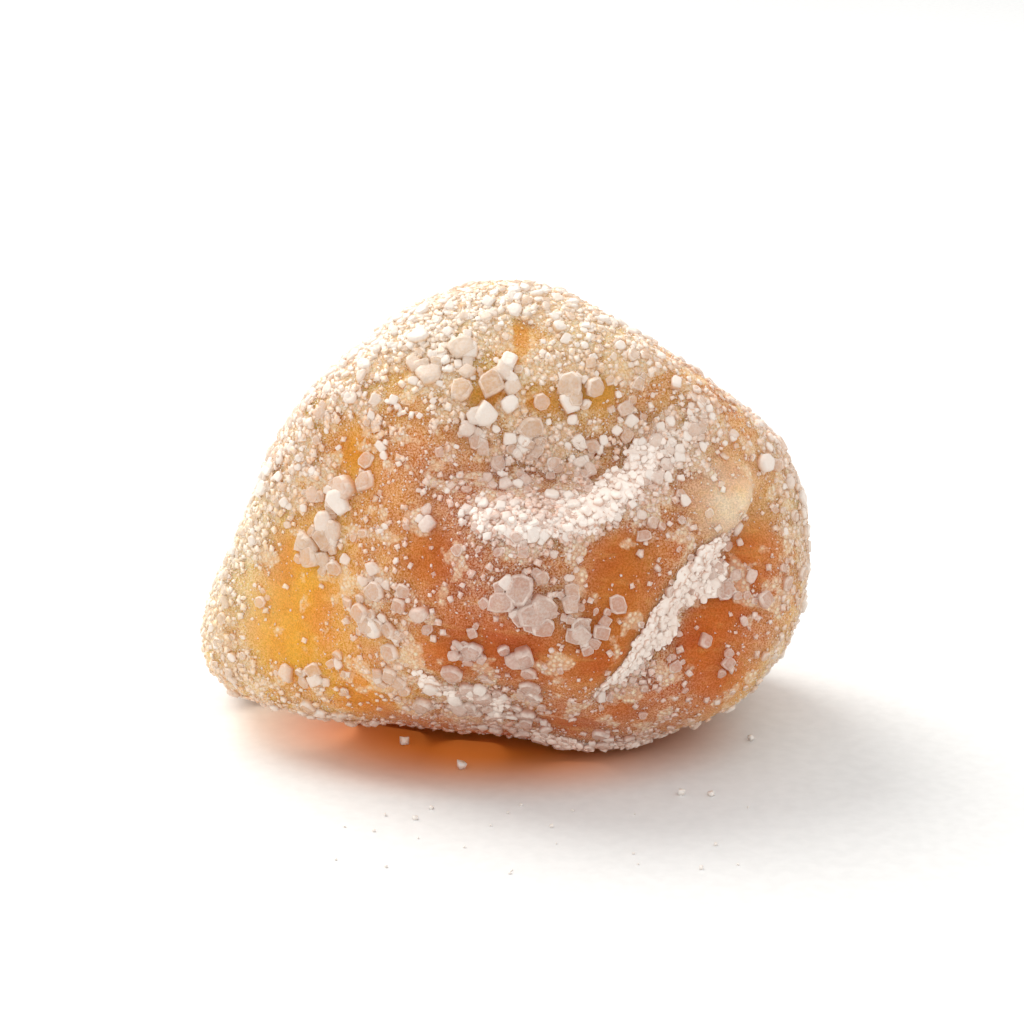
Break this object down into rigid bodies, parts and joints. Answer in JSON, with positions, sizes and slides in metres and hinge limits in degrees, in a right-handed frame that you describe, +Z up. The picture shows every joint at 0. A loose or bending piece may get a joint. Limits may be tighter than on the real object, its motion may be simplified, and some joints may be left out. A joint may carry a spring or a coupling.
{
  "type": "candied ginger",
  "caption": "Single irregular chunk of candied ginger root, amber and translucent, with a hollow and a crease in its front, rolled in coarse and fine sugar.",
  "frame": {"origin": "on the surface that the piece rests on, under the middle of its box, so z is 0 at the flat of its foot", "axes": "+X along the longest extent, towards the blunt creased end and away from the narrow tip; +Y away from the viewer; +Z up"},
  "size_m": [0.0218, 0.0184, 0.0166],
  "materials": {
    "ginger_flesh": "satin",
    "sugar": "satin"
  },
  "bodies": {
    "root": {"candied_ginger": "ginger_flesh"}
  },
  "joints": []
}
